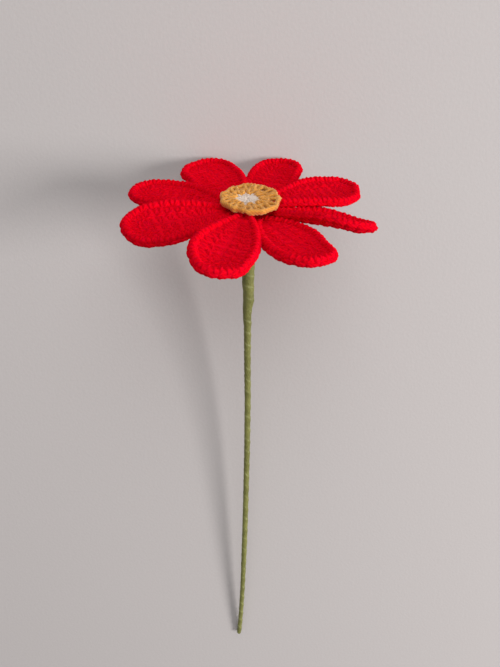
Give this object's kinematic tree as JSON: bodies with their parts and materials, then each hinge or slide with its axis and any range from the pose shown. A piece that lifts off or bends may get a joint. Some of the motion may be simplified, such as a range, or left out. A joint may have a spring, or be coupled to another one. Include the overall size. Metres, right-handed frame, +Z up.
{
  "type": "crocheted gerbera daisy",
  "caption": "Crocheted yarn gerbera daisy with spoon-shaped red petals, an amber and white centre and a tape-wrapped wire stem, lying down.",
  "frame": {"origin": "centre of the bounding box at the ground", "axes": "+Z up, +Y along the stem from its foot to the flower, +X to the right seen from above with the flower at the top"},
  "size_m": [0.1056, 0.3099, 0.0974],
  "materials": {
    "red_yarn": "matte, fuzzy knotted yarn",
    "amber_yarn": "matte twisted yarn",
    "white_yarn": "matte twisted yarn",
    "green_yarn": "matte twisted yarn",
    "red_thread": "matte twisted thread",
    "floral_tape": "waxed crepe paper, slightly glossy",
    "steel_wire": "drawn wire"
  },
  "bodies": {
    "root": {"petal_1": "red_yarn", "petal_2": "red_yarn", "petal_3": "red_yarn", "petal_4": "red_yarn", "petal_5": "red_yarn", "petal_6": "red_yarn", "petal_7": "red_yarn", "petal_8": "red_yarn", "petal_wire_1": "steel_wire", "petal_wire_2": "steel_wire", "petal_wire_3": "steel_wire", "petal_wire_4": "steel_wire", "petal_wire_5": "steel_wire", "petal_wire_6": "steel_wire", "petal_wire_7": "steel_wire", "petal_wire_8": "steel_wire", "amber_ring": "amber_yarn", "white_centre": "white_yarn", "calyx": "green_yarn", "binding_thread": "red_thread", "stem_wire": "steel_wire", "stem_tape": "floral_tape"}
  },
  "joints": []
}
